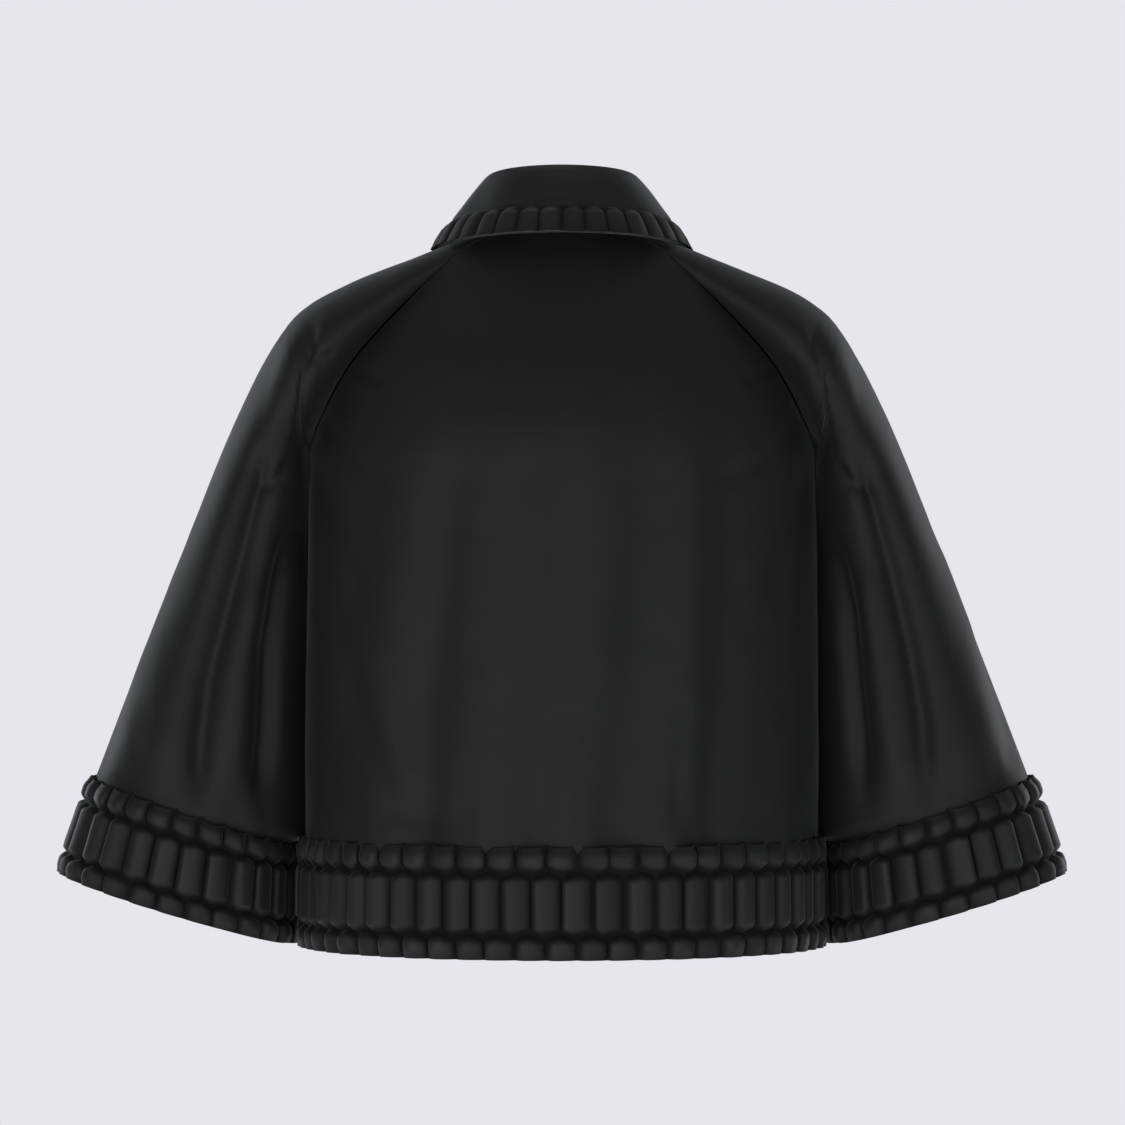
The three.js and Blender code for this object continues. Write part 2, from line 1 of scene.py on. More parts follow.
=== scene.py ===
# Cape-jacket of thin black satin: raglan bell sleeves, a turn-down collar, and pleated trim on the
# collar, hem and cuffs. Metres, +Z up. The back faces -Y. Built piece by piece, as it is sewn.
import json
import math
import random
import bpy
import bmesh
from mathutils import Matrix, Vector, noise


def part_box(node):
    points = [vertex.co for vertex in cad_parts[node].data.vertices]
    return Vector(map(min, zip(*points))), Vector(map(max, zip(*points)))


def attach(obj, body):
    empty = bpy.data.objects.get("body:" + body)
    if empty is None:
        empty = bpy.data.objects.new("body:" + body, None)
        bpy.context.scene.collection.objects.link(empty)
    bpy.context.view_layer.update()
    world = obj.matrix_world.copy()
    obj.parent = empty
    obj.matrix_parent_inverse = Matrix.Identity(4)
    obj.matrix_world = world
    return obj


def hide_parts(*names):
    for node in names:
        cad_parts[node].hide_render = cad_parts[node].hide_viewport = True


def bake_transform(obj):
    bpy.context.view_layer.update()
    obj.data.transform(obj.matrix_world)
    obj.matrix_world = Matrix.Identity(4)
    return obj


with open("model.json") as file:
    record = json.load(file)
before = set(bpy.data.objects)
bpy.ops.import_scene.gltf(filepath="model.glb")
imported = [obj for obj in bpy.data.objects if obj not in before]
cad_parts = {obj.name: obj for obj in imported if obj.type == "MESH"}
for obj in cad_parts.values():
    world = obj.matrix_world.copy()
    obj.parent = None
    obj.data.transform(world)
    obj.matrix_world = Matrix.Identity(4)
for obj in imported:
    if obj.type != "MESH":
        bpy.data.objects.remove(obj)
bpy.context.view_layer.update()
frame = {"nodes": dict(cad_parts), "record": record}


# ---------------------------------------------------------------- cloth
# The satin is a thin, dense polyester weave, black with a faint cool or olive cast where it bends.
# Every panel is one sheet of it, laid out as a grid over a smooth surface and then creased.

satin_black = (0.0125, 0.0128, 0.0130)
satin_cool = (0.0125, 0.0150, 0.0165)
satin_olive = (0.0165, 0.0160, 0.0125)
thread_pitch = 0.0011
cloth_thickness = 0.0007
seam_groove = 0.0010
seam_width = 0.0022
# A cut never fills more than its flat box (with a hair of room) nor less than this share of it.
full_cut, least_cut = 1.001, 0.31


class Shade:
    """A shader value: arithmetic adds Math nodes, and node() adds any other node."""

    def __init__(self, tree, socket):
        self.tree = tree
        self.socket = socket

    @staticmethod
    def plug(tree, socket, value):
        if isinstance(value, Shade):
            tree.links.new(value.socket, socket)
        else:
            socket.default_value = value

    @staticmethod
    def node(tree, kind, settings, output=0, **sockets):
        made = tree.nodes.new(kind)
        for name, value in settings.items():
            setattr(made, name, value)
        for name, value in sockets.items():
            by_number = name[0] == "i" and name[1:].isdigit()
            Shade.plug(tree, made.inputs[int(name[1:]) if by_number else name], value)
        return Shade(tree, made.outputs[output])

    def math(self, operation, first, second):
        return Shade.node(self.tree, "ShaderNodeMath", {"operation": operation}, 0, i0=first, i1=second)

    def __add__(self, other):
        return self.math("ADD", self, other)

    def __radd__(self, other):
        return self.math("ADD", other, self)

    def __sub__(self, other):
        return self.math("SUBTRACT", self, other)

    def __rsub__(self, other):
        return self.math("SUBTRACT", other, self)

    def __mul__(self, other):
        return self.math("MULTIPLY", self, other)

    def __rmul__(self, other):
        return self.math("MULTIPLY", other, self)

    def __pow__(self, other):
        return self.math("POWER", self, other)

    def mixed(self, low, high):
        """A colour between two colours, by this value."""
        settings = {"data_type": "RGBA", "clamp_factor": True}
        return Shade.node(self.tree, "ShaderNodeMix", settings, 2, i0=self, i6=low, i7=high)


def satin_material(name, tone_and_painted_light=1.0, sheen=0.22, roughness=0.60, crinkle=0.5, painted_fold_shade=False):
    """Black satin: threads along UV, slubs, broad changes of cast and a fine crinkle."""
    material = bpy.data.materials.new(name)
    material.use_nodes = True
    tree = material.node_tree
    shader = tree.nodes["Principled BSDF"]
    place = Shade.node(tree, "ShaderNodeTexCoord", {}, 3)
    uv = Shade.node(tree, "ShaderNodeTexCoord", {}, 2)
    noise_node, threads = "ShaderNodeTexNoise", 1 / thread_pitch
    broad = Shade.node(tree, noise_node, {}, 0, Vector=place, Scale=5.5, Detail=3.0, Roughness=0.55)
    cast = Shade.node(tree, noise_node, {}, 0, Vector=place, Scale=2.3, Detail=1.0)
    warp = Shade.node(tree, "ShaderNodeMapping", {}, 0, Vector=uv, Scale=(threads, 18.0, 1.0))
    weft = Shade.node(tree, "ShaderNodeMapping", {}, 0, Vector=uv, Scale=(22.0, threads, 1.0))
    slub_along = Shade.node(tree, noise_node, {}, 0, Vector=warp, Scale=1.0, Detail=2.0)
    slub_across = Shade.node(tree, noise_node, {}, 0, Vector=weft, Scale=1.0, Detail=2.0)
    weave = (slub_along + slub_across) * 0.5
    fine = Shade.node(tree, noise_node, {}, 0, Vector=place, Scale=85.0, Detail=4.0, Roughness=0.6)
    tint = cast.mixed((*satin_cool, 1), (*satin_olive, 1))
    deep = ((broad - 0.35) * 2.2).mixed((*satin_black, 1), tint)
    # Painted light: the brightness factor draws satin pieces of the same cloth brighter than the body.
    # For the ribbon it is its own darker tone. The weave varies it at random.
    strength = tone_and_painted_light * (0.72 + 0.56 * weave)
    dullness = roughness - 0.05 + 0.12 * broad + 0.10 * (weave - 0.5)
    # Painted shade and highlight on the pleated trims: the base colour falls to 0.15 in the valleys
    # between pleats and rises to 1.15 on the crests, by the fold attribute. The roughness rises in the
    # valleys.
    if painted_fold_shade:
        crest = Shade.node(tree, "ShaderNodeAttribute", {"attribute_name": "fold"}, 2)
        strength = strength * (0.15 + 1.0 * crest ** 1.3)
        dullness = dullness + 0.35 * (1 - crest)
    bright = Shade.node(tree, "ShaderNodeVectorMath", {"operation": "SCALE"}, 0, i0=deep, Scale=strength)
    Shade.plug(tree, shader.inputs["Base Color"], bright)
    Shade.plug(tree, shader.inputs["Roughness"], dullness)
    height = weave * 0.00008 + fine * (0.0005 * crinkle)
    bump = Shade.node(tree, "ShaderNodeBump", {}, 0, Strength=0.6, Distance=1.0, Height=height)
    Shade.plug(tree, shader.inputs["Normal"], bump)
    shader.inputs["Specular IOR Level"].default_value = 0.30
    shader.inputs["Sheen Weight"].default_value = sheen
    shader.inputs["Sheen Roughness"].default_value = 0.30
    shader.inputs["Sheen Tint"].default_value = (0.84, 0.88, 0.90, 1)
    return material


def smooth(value):
    """Eases from 0 to 1 as the value goes from 0 to 1."""
    value = min(max(value, 0.0), 1.0)
    return value * value * (3 - 2 * value)


def mix(low, high, share):
    return low + (high - low) * share


drawn_curves = {}


def through(points, t):
    """A smooth curve through the points; t runs from 0 to 1. Each place on it is worked out once."""
    if (id(points), t) not in drawn_curves:
        drawn_curves[id(points), t] = along(points, t)
    return drawn_curves[id(points), t].copy()


def along(points, t):
    """The Catmull-Rom curve behind through()."""
    last = len(points) - 1
    place = min(max(t, 0.0), 1.0) * last
    index = min(int(place), last - 1)
    f = place - index
    b, c = points[index], points[index + 1]
    a = points[index - 1] if index > 0 else 2 * b - c
    d = points[index + 2] if index + 2 <= last else 2 * c - b
    square, cube = 2 * a - 5 * b + 4 * c - d, 3 * b - 3 * c + d - a
    return 0.5 * (2 * b + (c - a) * f + square * f * f + cube * f ** 3)


def from_line(x, z, line):
    """How far (x, z) is from a line of (x, z) points, and how far along it, 0 to 1."""
    best = (1e9, 0.0)
    pieces = len(line) - 1
    for i in range(pieces):
        (ax, az), (bx, bz) = line[i], line[i + 1]
        dx, dz = bx - ax, bz - az
        share = ((x - ax) * dx + (z - az) * dz) / (dx * dx + dz * dz)
        share = min(max(share, 0.0), 1.0)
        gap = math.hypot(x - ax - share * dx, z - az - share * dz)
        if gap < best[0]:
            best = (gap, (i + share) / pieces)
    return best


def creased(x, z, creases):
    """The sum of creases (below zero) and ridges (above zero) drawn as lines in the XZ plane."""
    total = 0.0
    for line, width, depth in creases:
        gap, share = from_line(x, z, line)
        if gap < 3 * width:
            ends = smooth(4 * share + 0.15) * smooth(4 * (1 - share) + 0.3)
            total += depth * math.exp(-((gap / width) ** 2)) * ends
    return total


def cloth_grid(name, surface, columns, rows, inside, shape=None, crowd=0.0):
    """A sheet over surface(u, v); shape(u, v, point) moves it out or in, and UV is in metres."""
    bm = bmesh.new()
    bmesh.ops.create_grid(bm, x_segments=columns, y_segments=rows, size=0.5)
    places = {}
    for vert in bm.verts:
        u, v = vert.co.x + 0.5, vert.co.y + 0.5
        u -= crowd * math.sin(2 * math.pi * u) / (2 * math.pi)
        places[vert] = (u, v)
    for vert, (u, v) in places.items():
        vert.co = surface(u, v)
    bm.normal_update()

    def off_middle(face):
        return sum((places[w][0] - 0.5) ** 2 + (places[w][1] - 0.5) ** 2 for w in face.verts)

    middle = min(bm.faces, key=off_middle)
    if middle.normal.dot(middle.calc_center_median() - inside) < 0:
        bmesh.ops.reverse_faces(bm, faces=bm.faces)
        bm.normal_update()
    heart = surface(0.5, 0.5)
    size_u = (surface(1, 0.5) - heart).length + (heart - surface(0, 0.5)).length
    size_v = (surface(0.5, 1) - heart).length + (heart - surface(0.5, 0)).length
    layer = bm.loops.layers.uv.new("UVMap")
    for face in bm.faces:
        face.smooth = True
        for loop in face.loops:
            u, v = places[loop.vert]
            loop[layer].uv = (u * size_u, v * size_v)
    if shape:
        moves = [(vert, vert.normal * shape(*places[vert], vert.co)) for vert in bm.verts]
        for vert, move in moves:
            vert.co += move
    return finished(name, bm)


def finished(name, bm):
    """Puts the mesh into the scene as an object."""
    mesh = bpy.data.meshes.new(name)
    bm.to_mesh(mesh)
    bm.free()
    made = bpy.data.objects.new(name, mesh)
    bpy.context.scene.collection.objects.link(made)
    return made


def thickened(obj, material, thickness=cloth_thickness):
    """Gives a sheet its material, and its thickness on the inner side."""
    obj.data.materials.append(material)
    solid = obj.modifiers.new("thickness", "SOLIDIFY")
    solid.thickness = thickness
    solid.offset = -1
    return obj


def cloth_piece(obj):
    """Works out a sheet's flat cut, the box of its UV, and the area of the cloth as it now lies; nothing
    uses them.
    """
    layer = obj.data.uv_layers[0].data
    area = sum(face.area for face in obj.data.polygons)
    width = max(item.uv.x for item in layer)
    length = max(item.uv.y for item in layer)
    grow = max(1.0, math.sqrt(area / (width * length) * full_cut))
    flat = (width * grow, length * grow)
    area = max(min(area, flat[0] * flat[1]), least_cut * flat[0] * flat[1])


# ---------------------------------------------------------------- the shape of the body
# The cloth hangs from the neck seam and the tops of the shoulders and falls as an oval tube.
# Two raglan seams run from the neck to each armpit and part the body from the sleeves.

panel_low, panel_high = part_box("back_panel")
flap_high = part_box("front_flap_left")[1]
stand_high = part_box("collar_stand")[1]
shoulder_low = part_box("raglan_back_left")[0]
joints = {joint["name"]: joint for joint in frame["record"]["behaviour"]["joints"]}
shoulder_tip = Vector(joints["left_sleeve_lift"]["pos_m"])
hem_z = panel_low.z
armpit_z = flap_high.z
half_hem = panel_high.x
flare = 0.003
half_body = half_hem - flare
back_depth = -panel_low.y
front_depth = flap_high.y
half_neck = stand_high.x
neck_back, neck_front = 0.056, 0.062
neck_rise, neck_drop = 0.004, 0.042
shoulder_depth = -shoulder_low.y
front_half_gap = 0.003
inside_body = Vector((0, 0, armpit_z))
inside_neck = Vector((0, 0, 0))
back_turn, front_turn = 50, 125
shoulder_rows = 0.38
seam_bend = 55


def neck_point(turn):
    """The neck seam: turn 0 is the middle of the back, 180 the middle of the front."""
    angle = math.radians(turn)
    forward = -math.cos(angle)
    fall = ((1 + forward) / 2) ** 3
    depth = neck_back if forward < 0 else neck_front
    return Vector((-half_neck * math.sin(angle), forward * depth, mix(neck_rise, -neck_drop, fall)))


seam_points = [Vector((x * half_body, 0, z * armpit_z)) for x, z in
               ((-0.23, -0.03), (-0.43, 0.13), (-0.79, 0.56), (-0.95, 0.86), (-1, 1))]
over_points = [Vector((-half_neck, 0, 0.002))] + [
    Vector((x * shoulder_tip.x, 0, z * shoulder_tip.z)) for x, z in
    ((0.5, 0.20), (0.78, 0.56), (0.93, 0.81), (1, 1))]
bulge_points = [Vector((depth * shoulder_depth, turn, 0)) for depth, turn in
                ((0.5, 90), (0.75, 102), (0.97, 134), (1, 163), (1, 180))]
back_points = [Vector((0, -neck_back, neck_rise))] + [
    Vector((0, -y * back_depth, z * armpit_z)) for y, z in
    ((0.6, 0.24), (0.86, 0.57), (0.97, 0.83), (1, 1))]
front_points = [Vector((0, neck_front, -neck_drop))] + [
    Vector((0, y * front_depth, z * armpit_z)) for y, z in
    ((0.62, 0.42), (0.84, 0.64), (0.96, 0.85), (1, 1))]


def shoulder_arc(u, v, way):
    """Over the left shoulder: u from its top to the raglan seam, v from the neck to the armpit."""
    seam, over, bulge = through(seam_points, v), through(over_points, v), through(bulge_points, v)
    end = math.radians(bulge.y)
    cos_end = math.cos(end)
    centre = (seam - over * cos_end) / (1 - cos_end)
    point = centre + (over - centre) * math.cos(end * u)
    point.y = way * bulge.x * math.sin(end * u)
    return point


def drawn_to_neck(point, top_point, turn, v):
    return point + (neck_point(turn) - top_point) * (1 - v) ** 3


def shoulder_point(u, v, way):
    turn = mix(90, back_turn if way < 0 else front_turn, u)
    return drawn_to_neck(shoulder_arc(u, v, way), shoulder_arc(u, 0, way), turn, v)


def body_arc(u, v, way):
    """The left half of the back or front, u from the middle (0) to the seam (1).

    v is 1 at the armpit and 2 at the hem.
    """
    if v > 1:
        width = mix(half_body, half_hem, v - 1)
        depth = back_depth if way < 0 else front_depth
        angle = math.pi / 2 * u
        height = mix(armpit_z, hem_z, v - 1)
        return Vector((-width * math.sin(angle), way * depth * math.cos(angle), height))
    seam = shoulder_arc(1, v, way)
    centre = through(back_points if way < 0 else front_points, v)
    end = math.radians(mix(seam_bend, 90, v))
    across = math.sin(end * u) / math.sin(end)
    around = (1 - math.cos(end * u)) / (1 - math.cos(end))
    return Vector((seam.x * across, mix(centre.y, seam.y, around), mix(centre.z, seam.z, around)))


def body_point(u, v, way):
    turn = back_turn * u if way < 0 else mix(180, front_turn, u)
    point = body_arc(u, v, way)
    return point if v > 1 else drawn_to_neck(point, body_arc(u, 0, way), turn, v)


def length_level(t):
    """Down the body in even steps: the shoulder part takes the first share of the rows."""
    return t / shoulder_rows if t < shoulder_rows else 1 + (t - shoulder_rows) / (1 - shoulder_rows)


def mirrored(point):
    return Vector((-point.x, point.y, point.z))


easing_weights = ((-2, 1), (-1, 2), (0, 3), (1, 2), (2, 1))


def eased(surface, at, reach, hardness):
    """The surface without the bend across t = at; hardness(u) is 1 where a seam keeps it as it is."""
    def flowing(u, t):
        near = 1 - abs(t - at) / (2.5 * reach)
        if near <= 0:
            return surface(u, t)
        step = reach * smooth(2 * near)
        taken = [surface(u, min(max(t + k * step / 2, 0), 1)) * weight for k, weight in easing_weights]
        return sum(taken, Vector()) / 9 * (1 - hardness(u)) + surface(u, t) * hardness(u)
    return flowing


# ---------------------------------------------------------------- back panel
# One wide piece of satin, sewn to the sleeves at the raglan seams and to the fronts at the sides.
# It hangs from the neck seam in broad shallow folds, with drag lines at the armpits.

satin_body = satin_material("satin_body")

# Middle of each broad fold across the back, how far it stands out, and its half width.
back_folds = ((-0.178, 0.0022, 0.020), (-0.131, 0.0030, 0.024), (-0.094, -0.0032, 0.016),
              (-0.045, 0.0026, 0.024), (-0.010, -0.0020, 0.014), (0.020, 0.0026, 0.018),
              (0.055, -0.0030, 0.020), (0.090, 0.0028, 0.014), (0.118, -0.0028, 0.016),
              (0.176, 0.0026, 0.022))
# Each crease: its line in (x, z), its half width, and how far it stands out (in, below zero).
back_creases = [
    ([(-0.178, -0.298), (-0.149, -0.402), (-0.128, -0.454), (-0.090, -0.462)], 0.011, -0.0028),
    ([(-0.160, -0.300), (-0.134, -0.400), (-0.112, -0.440)], 0.012, 0.0020),
    ([(0.095, -0.360), (0.090, -0.402), (0.086, -0.470)], 0.007, -0.0024),
    ([(0.112, -0.350), (0.104, -0.402), (0.100, -0.470)], 0.010, 0.0018),
    ([(-0.196, -0.176), (-0.178, -0.240), (-0.150, -0.300)], 0.009, -0.0026),
    ([(0.196, -0.176), (0.182, -0.235), (0.158, -0.290)], 0.009, -0.0026),
    ([(-0.190, -0.150), (-0.165, -0.180), (-0.130, -0.205)], 0.007, -0.0018),
    ([(0.190, -0.150), (0.160, -0.182), (0.120, -0.200)], 0.007, -0.0018),
    ([(-0.165, -0.108), (-0.140, -0.122)], 0.005, -0.0020),
    ([(0.165, -0.108), (0.142, -0.124)], 0.005, -0.0020),
]
fold_strength = 1.3
trim_height = 0.087
trim_overlap = 0.003
gather_start = hem_z + 0.085
gather_rise = 0.07


def hem_gather(x, z, seed):
    """Small folds that run up from the stitching of the hem trim."""
    rise = smooth(1 - (z - gather_start) / gather_rise) if z > gather_start else 1.0
    return 0.0009 * rise * noise.noise(Vector((x * 70, seed, z * 6)))


def limp(point, seed):
    """The small unevenness of thin cloth."""
    broad = noise.noise(point * 14 + Vector((seed, 0, 0)))
    return 0.0010 * broad + 0.0005 * noise.noise(point * 38 + Vector((0, seed, 0)))


def seam_dip(gap, level):
    """The groove of a seam: full on the raglan line, faint at the neck and below the armpit."""
    depth = seam_groove * smooth(level / 0.35) * mix(1, 0.15, smooth((level - 0.85) / 0.15))
    return -depth * math.exp(-((gap / seam_width) ** 2))


def under_trim(total, covered):
    """Cloth lies flat, a little further in, where trim covers it."""
    return mix(total, -0.0024, covered)


def under_hem_trim(total, point):
    return under_trim(total, smooth((hem_z + trim_height - trim_overlap - point.z) / 0.005))


def back_surface(u, t):
    across = mix(-1, 1, u)
    point = body_point(abs(across), length_level(t), -1)
    return point if across < 0 else mirrored(point)


def back_shape(u, t, point):
    fall = smooth((-0.10 - point.z) / 0.22)
    drift = 0.012 * math.sin(point.z * 9 + point.x * 6)
    folds = sum(out * math.exp(-(((point.x + drift - x) / wide) ** 2)) for x, out, wide in back_folds)
    edge = half_hem * 2 * min(u, 1 - u)
    quiet = smooth(edge / 0.02)
    drawn = creased(point.x, point.z, back_creases) + hem_gather(point.x, point.z, 3)
    total = (fold_strength * fall * folds + drawn) * quiet
    total += limp(point, 1.0) * quiet + seam_dip(edge, length_level(t))
    return under_hem_trim(total, point)


back_flow = eased(back_surface, shoulder_rows, 0.05, lambda u: smooth(1 - min(u, 1 - u) / 0.10))
back = cloth_grid("back", back_flow, 220, 170, inside_body, back_shape, crowd=0.6)
thickened(back, satin_body)
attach(back, "torso")
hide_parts("back_panel")
cloth_piece(back)


# ---------------------------------------------------------------- fronts
# Two pieces that meet edge to edge at the middle. The neck hook closes them at the top only.
# Each is one cloth from side seam to edge, across the line where the CAD parts it.

front_start = Vector((0, 0, -0.046))


def front_surface(u, t):
    level = length_level(t)
    width = half_hem if level > 1 else -shoulder_arc(1, level, 1).x
    end = math.pi / 2 if level > 1 else math.radians(mix(seam_bend, 90, level))
    start = math.asin(min(front_half_gap / width * math.sin(end), 1)) / end
    return body_point(mix(start, 1, u), level, 1)


front_flow = eased(front_surface, shoulder_rows, 0.05, lambda u: smooth(1 - (1 - u) / 0.20))
front_creases = [
    ([(-0.030, -0.200), (-0.036, -0.340), (-0.030, -0.470)], 0.014, -0.0036),
    ([(-0.062, -0.160), (-0.070, -0.320), (-0.064, -0.480)], 0.018, 0.0042),
    ([(-0.104, -0.190), (-0.108, -0.330), (-0.100, -0.480)], 0.014, -0.0040),
    ([(-0.150, -0.210), (-0.150, -0.340), (-0.146, -0.480)], 0.016, 0.0036),
    ([(-0.192, -0.180), (-0.165, -0.230), (-0.130, -0.300)], 0.009, -0.0026),
    ([(-0.186, -0.150), (-0.150, -0.172), (-0.110, -0.180)], 0.007, -0.0018),
]


def front_shape(u, t, point):
    edge = min(u * 0.25, half_hem * (1 - u))
    quiet = smooth(edge / 0.02)
    total = creased(-abs(point.x), point.z, front_creases) + hem_gather(point.x, point.z, 7)
    total = (total + limp(point, 5.0)) * quiet + seam_dip(half_hem * (1 - u), length_level(t))
    return under_hem_trim(total, point)


def bend_front(obj):
    """Bakes the sheet's placement into its mesh."""
    start = front_start.copy()
    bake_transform(obj)


def for_side(surface, side):
    return surface if side == "left" else lambda u, v: mirrored(surface(u, v))


for side in ("left", "right"):
    surface = for_side(front_flow, side)
    name = f"front_{side}_cloth"
    front = cloth_grid(name, surface, 110, 170, inside_body, front_shape, crowd=0.5)
    thickened(front, satin_body)
    bend_front(front)
    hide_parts("front_panel_" + side, "front_flap_" + side)
    cloth_piece(front)


# ---------------------------------------------------------------- facings
# Strips of the same satin, sewn behind the neck and the front edges so that no raw edge shows.
# They lie just inside the cloth they face and move with it.

facing_offset = -0.0022
facing_width, facing_top_width = 0.19, 0.42


def facing_shape(u, v, point):
    return facing_offset + 0.5 * limp(point, 9.0)


def back_facing_surface(u, v):
    across = mix(-0.9, 0.9, u)
    depth = 0.36 - 0.10 * abs(across) ** 2
    point = body_point(abs(across), mix(0.01, depth, v), -1)
    return point if across < 0 else mirrored(point)


name = "back_neck_facing_cloth"
back_facing = cloth_grid(name, back_facing_surface, 80, 24, inside_body, facing_shape)
thickened(back_facing, satin_body)
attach(back_facing, "torso")
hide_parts("back_neck_facing")
cloth_piece(back_facing)


def front_facing_surface(u, t):
    width = mix(facing_top_width, facing_width, smooth(t * 3))
    return front_flow(u * width, mix(0.004, 0.999, t))


for side in ("left", "right"):
    surface = for_side(front_facing_surface, side)
    facing = cloth_grid("facing_" + side, surface, 20, 150, inside_body, facing_shape)
    thickened(facing, satin_body)
    bend_front(facing)
    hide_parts("upper_facing_" + side, "front_facing_" + side)
    cloth_piece(facing)


# ---------------------------------------------------------------- raglan bell sleeves
# Each sleeve is two pieces of satin, sewn together along the top of the arm and under it, and sewn to
# the body at the raglan seams. It is far wider than an arm, so it hangs in deep folds that spread
# down to the cuff.

sleeve_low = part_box("sleeve_back_left")[0]
cuff_outer = Vector((sleeve_low.x + 0.0006, 0, -0.510))
hem_puff, cuff_gap = 0.0071, 0.0091
trim_reach = half_hem + hem_puff
cuff_inner = Vector((-trim_reach - cuff_gap, 0, sleeve_low.z))
cuff_height, sleeve_fall = 0.080, 0.474
cuff_top = 1 - cuff_height / sleeve_fall
cuff_depth, cuff_forward = 0.078, 0.010
sleeve_start = 0.36
tuck = 0.038
clearance = 0.0010
spread = cuff_outer - shoulder_tip
fall = armpit_z - cuff_inner.z


def body_side(forward, height):
    """How far out the body reaches at the side."""
    width = mix(half_body, half_hem, (armpit_z - height) / (armpit_z - hem_z))
    return width * math.sqrt(max(0, 1 - (forward / front_depth) ** 2))


def trim_side(forward):
    """The same beside the hem trim, with room for the puffs of both trims."""
    round_body = math.sqrt(max(0, 1 - (forward / (front_depth + hem_puff)) ** 2))
    return -cuff_inner.x - trim_reach * (1 - round_body)


outer_points = [shoulder_tip + Vector((spread.x * x, 0, spread.z * z)) for x, z in
                ((0, 0), (0.12, 0.08), (0.28, 0.22), (0.47, 0.42), (0.68, 0.64), (0.855, 0.83), (1, 1))]
inner_points = [Vector((0, forward * tuck, armpit_z - share * fall)) for share, forward in
                ((0.003, 0), (0.06, 0.72), (0.18, 0.9), (0.4, 1), (0.62, 0.95), (0.8, 0.8), (1, 0.7))]


def clear_of_body(point):
    """How far out the sleeve must lie to miss the body above the hem trim, and both trims beside it."""
    beside_hem = smooth((hem_z + trim_height - point.z) / 0.008)
    room = mix(-0.0008, clearance, smooth((armpit_z - point.z) / 0.020))
    return mix(body_side(point.y, point.z) + room, trim_side(point.y), beside_hem)


def tube_point(turn, v):
    """Round the left sleeve: turn 0 is the outer edge, 0.5 the inner; v from shoulder to cuff."""
    outer, inner = through(outer_points, v), through(inner_points, v)
    inner.x = -clear_of_body(inner)
    angle = 2 * math.pi * turn
    point = (outer + inner) / 2 + (outer - inner) / 2 * math.cos(angle)
    depth = mix(shoulder_depth, cuff_depth, v)
    point.y += 0.5 * cuff_forward * v * (1 + math.cos(angle)) - depth * math.sin(angle)
    touch = min(point.x, -clear_of_body(point))
    point.x = mix(point.x, touch, min(1, max(0, (armpit_z - point.z) / 0.012)))
    return point


def sleeve_surface(way):
    def surface(u, t):
        if t < sleeve_start:
            return shoulder_point(u, t / sleeve_start, way)
        turn = 0.5 * u if way < 0 else 1 - 0.5 * u
        return tube_point(turn, (t - sleeve_start) / (1 - sleeve_start))
    return surface


# Folds of the left sleeve seen from behind: line, half width, and how far they stand out.
sleeve_creases = {
    "left": [
        ([(-0.232, -0.165), (-0.238, -0.200), (-0.258, -0.275), (-0.279, -0.355),
          (-0.285, -0.406), (-0.287, -0.446)], 0.0095, -0.0125),
        ([(-0.250, -0.185), (-0.276, -0.270), (-0.304, -0.355), (-0.318, -0.440)], 0.020, 0.0050),
        ([(-0.209, -0.225), (-0.222, -0.275), (-0.231, -0.330), (-0.234, -0.400),
          (-0.239, -0.446)], 0.0080, -0.0110),
        ([(-0.240, -0.270), (-0.254, -0.350), (-0.262, -0.446)], 0.010, 0.0060),
        ([(-0.352, -0.350), (-0.362, -0.400), (-0.366, -0.430)], 0.012, -0.0026),
        ([(-0.300, -0.240), (-0.330, -0.330), (-0.345, -0.420)], 0.016, 0.0022),
        ([(-0.194, -0.071), (-0.202, -0.110), (-0.206, -0.150), (-0.208, -0.185)], 0.0055, -0.0055),
        ([(-0.212, -0.080), (-0.222, -0.120), (-0.226, -0.160)], 0.0090, 0.0030),
        ([(-0.176, -0.096), (-0.190, -0.104), (-0.200, -0.098)], 0.0045, -0.0030),
        ([(-0.212, -0.178), (-0.222, -0.196), (-0.236, -0.206)], 0.0050, -0.0045),
    ],
    "right": [
        ([(-0.234, -0.168), (-0.243, -0.210), (-0.261, -0.275), (-0.274, -0.330),
          (-0.283, -0.385), (-0.287, -0.446)], 0.0085, -0.0115),
        ([(-0.252, -0.190), (-0.282, -0.280), (-0.306, -0.360), (-0.316, -0.440)], 0.020, 0.0050),
        ([(-0.210, -0.235), (-0.226, -0.300), (-0.233, -0.370), (-0.240, -0.446)], 0.0075, -0.0100),
        ([(-0.238, -0.260), (-0.252, -0.350), (-0.264, -0.446)], 0.011, 0.0058),
        ([(-0.330, -0.300), (-0.352, -0.372), (-0.360, -0.430)], 0.010, -0.0036),
        ([(-0.300, -0.230), (-0.322, -0.300), (-0.338, -0.420)], 0.014, 0.0026),
        ([(-0.196, -0.074), (-0.203, -0.115), (-0.207, -0.155), (-0.208, -0.188)], 0.0055, -0.0050),
        ([(-0.214, -0.084), (-0.224, -0.125), (-0.228, -0.165)], 0.0090, 0.0030),
        ([(-0.168, -0.100), (-0.184, -0.112), (-0.200, -0.112)], 0.0045, -0.0030),
        ([(-0.213, -0.182), (-0.226, -0.200), (-0.244, -0.208)], 0.0050, -0.0045),
    ],
}
seam_span = 0.20


